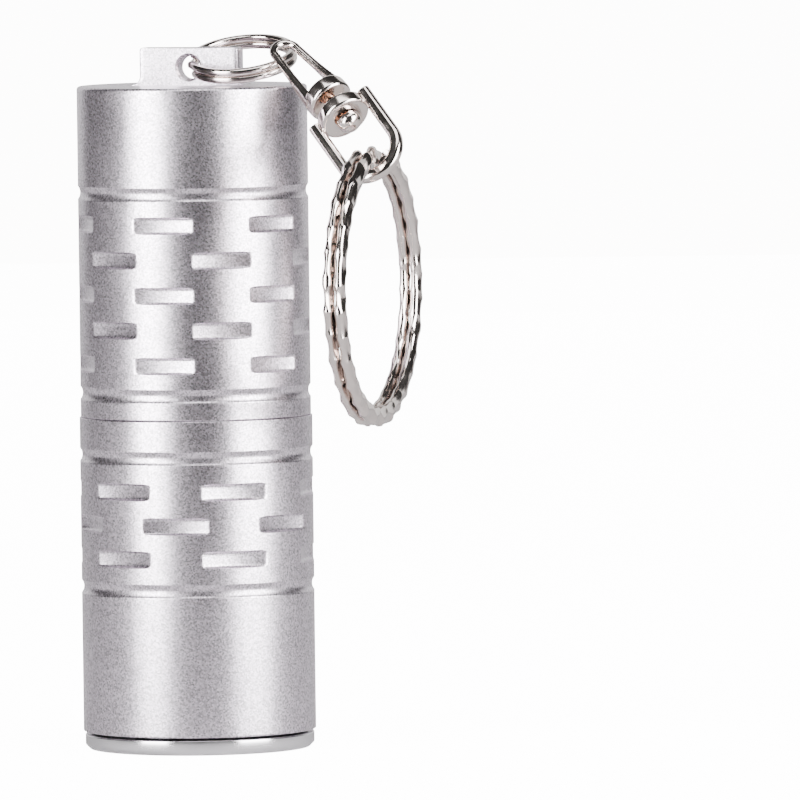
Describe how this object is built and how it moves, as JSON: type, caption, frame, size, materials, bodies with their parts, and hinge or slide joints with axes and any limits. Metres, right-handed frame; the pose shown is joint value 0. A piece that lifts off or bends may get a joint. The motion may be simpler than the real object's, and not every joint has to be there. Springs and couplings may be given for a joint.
{
  "type": "keychain flashlight",
  "caption": "Small twist-switch aluminium flashlight with grip slots and a tail lug that carries a split ring, a swivel and a large hammered key ring.",
  "frame": {"origin": "centre of the flat top face of the tail lug", "axes": "+Z along the torch's axis towards the tail, +Y square to the lug's flat sides, +X along the lug's width towards the side where the chain hangs"},
  "size_m": [0.0342, 0.0342, 0.068],
  "materials": {
    "anodised": "fine sandblasted and anodised, satin sparkle",
    "bezel_metal": "turned and anodised, semi-gloss",
    "nickel": "polished nickel plate",
    "copper": "polished copper",
    "brass": "turned",
    "mirror": "vacuum coated",
    "glass": "polished, clear",
    "rubber": "smooth black",
    "gasket": "matt white silicone",
    "phosphor": "matt yellow phosphor",
    "board": "green solder mask",
    "emitter": "matt ceramic",
    "chip": "matt black resin",
    "cell": "shrink sleeve",
    "steel": "bright drawn",
    "paper": "matt white card",
    "red_wire": "smooth insulation",
    "black_wire": "smooth insulation"
  },
  "bodies": {
    "head": {"head_shell": "anodised", "bezel": "bezel_metal", "bezel_seal": "rubber", "lens_seal": "rubber", "lens": "glass", "reflector": "mirror", "led_package": "emitter", "led_die": "phosphor", "led_dome": "glass", "led_gasket": "gasket", "led_board": "board", "pill": "brass", "wire_positive": "red_wire", "wire_negative": "black_wire", "driver_board": "board", "driver_controller": "chip", "driver_regulator_1": "chip", "driver_regulator_2": "chip", "driver_regulator_3": "chip", "driver_contact": "brass", "battery_cap": "steel", "battery_insulator": "paper", "battery_cell": "cell", "tail_spring": "steel"},
    "seal": {"neck_seal": "rubber"},
    "tube": {"battery_tube": "anodised"},
    "small_ring": {"small_split_ring": "nickel"},
    "bail": {"swivel_bail": "nickel", "swivel_rivet": "copper"},
    "frame": {"swivel_frame": "nickel"},
    "ring": {"key_ring": "nickel"}
  },
  "joints": [
    {"name": "seal_travel", "type": "slide", "parent": "head", "child": "seal", "axis": [0, 0, 1], "range_m": [0, 0.00326], "deforming": ["tail_spring"]},
    {"name": "tail_twist", "type": "hinge", "parent": "seal", "child": "tube", "pos_m": [0, 0, -0.0351], "axis": [0, 0, 1], "range_deg": [0, 1170]},
    {"name": "ring_swing", "type": "hinge", "parent": "tube", "child": "small_ring", "pos_m": [0, 0, -0.0019], "axis": [0, -1, 0], "range_deg": [0, 150]},
    {"name": "bail_swing", "type": "hinge", "parent": "small_ring", "child": "bail", "pos_m": [0.00931, -0.00036, -0.00156], "axis": [-0.3241, -0.8966, -0.3018], "range_deg": [0, 70]},
    {"name": "swivel_spin", "type": "hinge", "parent": "bail", "child": "frame", "pos_m": [0.01656, -0.00609, -0.00622], "axis": [0.6743, -0.4652, -0.5736], "continuous": true},
    {"name": "key_ring_swing", "type": "hinge", "parent": "frame", "child": "ring", "pos_m": [0.02034, -0.00988, -0.01188], "axis": [0.9568, -0.0218, 0.29], "range_deg": [-50, 25]}
  ],
  "couplings": [
    {"joint": "seal_travel", "follows": "tail_twist", "m_per_rad": 0.00015915}
  ]
}
